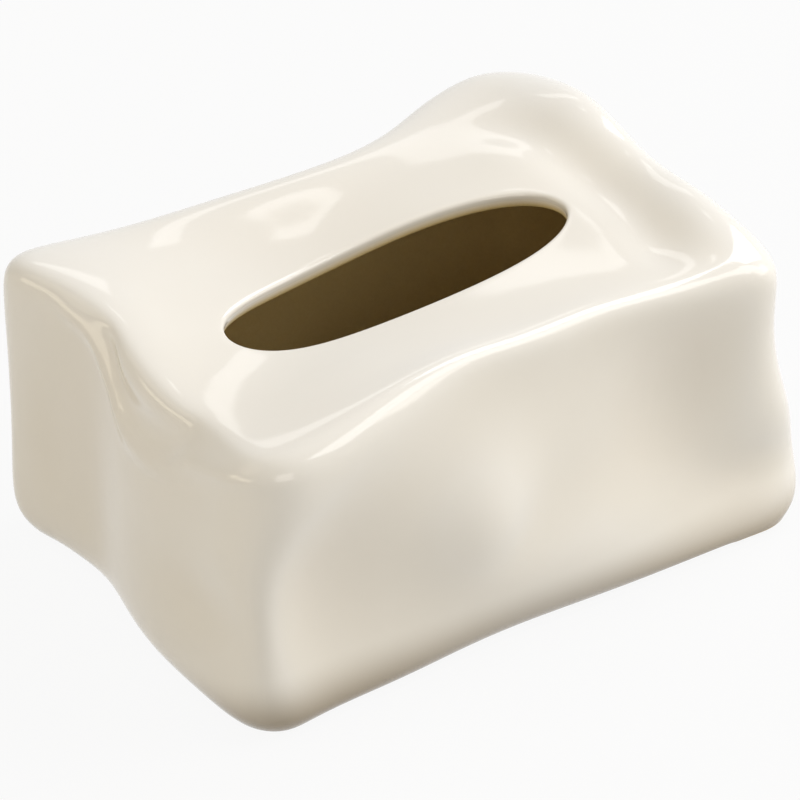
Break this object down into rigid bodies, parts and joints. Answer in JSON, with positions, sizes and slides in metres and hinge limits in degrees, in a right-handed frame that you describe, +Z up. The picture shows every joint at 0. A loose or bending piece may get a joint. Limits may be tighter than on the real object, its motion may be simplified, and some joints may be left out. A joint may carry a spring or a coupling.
{
  "type": "tissue box cover",
  "caption": "Wavy glazed ceramic cover that drops over a pack of tissues: open bottom, oval slot in the top, flat foot ring on small silicone pads.",
  "frame": {"origin": "middle of the footprint's bounding box, on the surface that the cover's pads stand on", "axes": "+X along the cover's longest side, towards the end with the tall crests; +Y towards the back; +Z up through the tissue slot"},
  "size_m": [0.2164, 0.1664, 0.107],
  "materials": {
    "glaze": "glossy cream glaze on stoneware, bare on the foot's land",
    "silicone": "satin translucent silicone"
  },
  "bodies": {
    "root": {"cover_shell": "glaze", "foot_pad_front_left": "silicone", "foot_pad_front_right": "silicone", "foot_pad_back_left": "silicone", "foot_pad_back_right": "silicone"}
  },
  "joints": []
}
